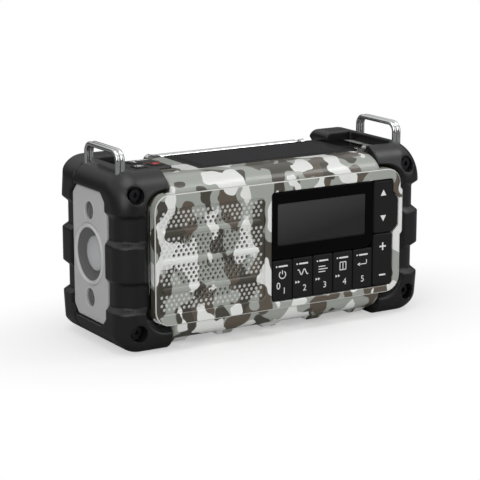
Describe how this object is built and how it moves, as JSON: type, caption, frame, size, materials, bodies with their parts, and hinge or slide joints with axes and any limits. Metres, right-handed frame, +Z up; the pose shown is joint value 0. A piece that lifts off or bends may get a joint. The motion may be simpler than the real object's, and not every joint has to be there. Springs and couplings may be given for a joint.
{
  "type": "hand crank radio",
  "caption": "Rugged portable radio with rubber bumpers, torch end, solar top, telescopic antenna and a folding rear crank that drives a geared generator.",
  "frame": {"origin": "middle of the bounding box, on the ground plane under the bumpers", "axes": "+X to the radio's right seen from the front, +Y to the back, +Z up"},
  "size_m": [0.196, 0.0794, 0.1084],
  "materials": {
    "shell_plastic": "satin, printed with a camouflage pattern",
    "bumper_rubber": "satin",
    "seal_rubber": "matte",
    "grey_plastic": "satin",
    "key_plastic": "matte",
    "red_plastic": "matte",
    "gloss_black": "gloss",
    "lcd_grey": "gloss",
    "clear_lens": "clear",
    "mirror_coat": "polished",
    "board_green": "satin",
    "cell_blue": "gloss",
    "chrome": "polished",
    "black_steel": "satin",
    "bright_steel": "brushed",
    "bush_brass": "satin",
    "gear_plastic": "satin",
    "magnet_grey": "matte",
    "cone_paper": "matte",
    "cell_can": "satin"
  },
  "bodies": {
    "radio": {"front_shell": "shell_plastic", "rear_shell": "shell_plastic", "speaker_grille": "shell_plastic", "left_bumper_front": "bumper_rubber", "left_bumper_rear": "bumper_rubber", "right_bumper_front": "bumper_rubber", "right_bumper_rear": "bumper_rubber", "top_pad": "bumper_rubber", "shell_gasket": "seal_rubber", "key_mat": "seal_rubber", "torch_panel": "grey_plastic", "right_panel": "grey_plastic", "torch_bezel": "grey_plastic", "display_window": "gloss_black", "solar_window": "gloss_black", "lcd_module": "lcd_grey", "torch_lens": "clear_lens", "side_lamps": "clear_lens", "charge_lamp": "clear_lens", "torch_reflector": "mirror_coat", "torch_board": "board_green", "main_board": "board_green", "solar_cells": "cell_blue", "left_bail": "chrome", "right_bail": "chrome", "bumper_screws": "black_steel", "speaker_basket": "black_steel", "idler_axle": "bright_steel", "gearbox_plate": "bright_steel", "generator_case": "bright_steel", "port_block": "bright_steel", "crank_bush": "bush_brass", "speaker_magnet": "magnet_grey", "speaker_cone": "cone_paper", "battery_cells": "cell_can"},
    "key_1": {"key_1": "key_plastic"},
    "key_2": {"key_2": "key_plastic"},
    "key_3": {"key_3": "key_plastic"},
    "key_4": {"key_4": "key_plastic"},
    "key_5": {"key_5": "key_plastic"},
    "tuning": {"tuning_rocker": "key_plastic"},
    "volume": {"volume_rocker": "key_plastic"},
    "siren": {"siren_button": "red_plastic"},
    "torch_switch": {"torch_button": "key_plastic"},
    "light_switch": {"light_button": "key_plastic"},
    "crank": {"crank_arm": "key_plastic", "crank_shaft": "bright_steel", "crank_screw": "bright_steel", "drive_gear": "gear_plastic", "knob_pin": "bright_steel"},
    "fork": {"knob_fork": "bright_steel"},
    "knob": {"crank_knob": "key_plastic"},
    "idler": {"idler_gear": "gear_plastic"},
    "rotor": {"generator_rotor": "bright_steel"},
    "antenna_swivel": {"antenna_base": "chrome"},
    "mast": {"antenna_mast": "chrome"},
    "middle_tube": {"antenna_tube": "chrome"},
    "tip": {"antenna_tip": "chrome"},
    "flap": {"port_flap": "seal_rubber"},
    "door": {"battery_door": "shell_plastic"}
  },
  "joints": [
    {"name": "key_1_press", "type": "slide", "parent": "radio", "child": "key_1", "axis": [0, 1, 0], "range_m": [0, 0.0008], "stiffness_N_per_m": 400},
    {"name": "key_2_press", "type": "slide", "parent": "radio", "child": "key_2", "axis": [0, 1, 0], "range_m": [0, 0.0008], "stiffness_N_per_m": 400},
    {"name": "key_3_press", "type": "slide", "parent": "radio", "child": "key_3", "axis": [0, 1, 0], "range_m": [0, 0.0008], "stiffness_N_per_m": 400},
    {"name": "key_4_press", "type": "slide", "parent": "radio", "child": "key_4", "axis": [0, 1, 0], "range_m": [0, 0.0008], "stiffness_N_per_m": 400},
    {"name": "key_5_press", "type": "slide", "parent": "radio", "child": "key_5", "axis": [0, 1, 0], "range_m": [0, 0.0008], "stiffness_N_per_m": 400},
    {"name": "siren_press", "type": "slide", "parent": "radio", "child": "siren", "axis": [0, 0, -1], "range_m": [0, 0.0008], "stiffness_N_per_m": 400},
    {"name": "torch_switch_press", "type": "slide", "parent": "radio", "child": "torch_switch", "axis": [0, 0, -1], "range_m": [0, 0.0008], "stiffness_N_per_m": 400},
    {"name": "light_switch_press", "type": "slide", "parent": "radio", "child": "light_switch", "axis": [0, 0, -1], "range_m": [0, 0.0008], "stiffness_N_per_m": 400},
    {"name": "tuning_rock", "type": "hinge", "parent": "radio", "child": "tuning", "pos_m": [0.067, -0.03585, 0.06432], "axis": [1, 0, 0], "range_deg": [-2.5, 2.5], "stiffness_Nm_per_rad": 0.4},
    {"name": "volume_rock", "type": "hinge", "parent": "radio", "child": "volume", "pos_m": [0.067, -0.03585, 0.03408], "axis": [1, 0, 0], "range_deg": [-2.5, 2.5], "stiffness_Nm_per_rad": 0.4},
    {"name": "crank_turn", "type": "hinge", "parent": "radio", "child": "crank", "pos_m": [0.022, 0, 0.045], "axis": [0, 1, 0], "continuous": true},
    {"name": "knob_fold", "type": "hinge", "parent": "crank", "child": "fork", "pos_m": [-0.012, 0.0324, 0.045], "axis": [0, 0, 1], "range_deg": [0, 90]},
    {"name": "knob_spin", "type": "hinge", "parent": "fork", "child": "knob", "pos_m": [0, 0.0324, 0.045], "axis": [1, 0, 0], "continuous": true},
    {"name": "idler_turn", "type": "hinge", "parent": "radio", "child": "idler", "pos_m": [0.04919, 0, 0.05768], "axis": [0, 1, 0], "continuous": true},
    {"name": "rotor_turn", "type": "hinge", "parent": "radio", "child": "rotor", "pos_m": [0.0471, 0, 0.03377], "axis": [0, 1, 0], "continuous": true},
    {"name": "antenna_turn", "type": "hinge", "parent": "radio", "child": "antenna_swivel", "pos_m": [-0.04, 0.0315, 0.0857], "axis": [0, 0, 1], "range_deg": [0, 90]},
    {"name": "antenna_tilt", "type": "hinge", "parent": "antenna_swivel", "child": "mast", "pos_m": [-0.04, 0.03675, 0.0894], "axis": [0, -1, 0], "range_deg": [0, 90]},
    {"name": "middle_draw", "type": "slide", "parent": "mast", "child": "middle_tube", "axis": [1, 0, 0], "range_m": [0, 0.075]},
    {"name": "tip_draw", "type": "slide", "parent": "middle_tube", "child": "tip", "axis": [1, 0, 0], "range_m": [0, 0.075]},
    {"name": "flap_open", "type": "hinge", "parent": "radio", "child": "flap", "pos_m": [0.0957, 0.00125, 0.067], "axis": [0, -1, 0], "range_deg": [0, 110]},
    {"name": "door_lift", "type": "slide", "parent": "radio", "child": "door", "axis": [0, 1, 0], "range_m": [0, 0.03]}
  ],
  "couplings": [
    {"joint": "idler_turn", "follows": "crank_turn", "ratio": -4},
    {"joint": "rotor_turn", "follows": "crank_turn", "ratio": 16}
  ]
}
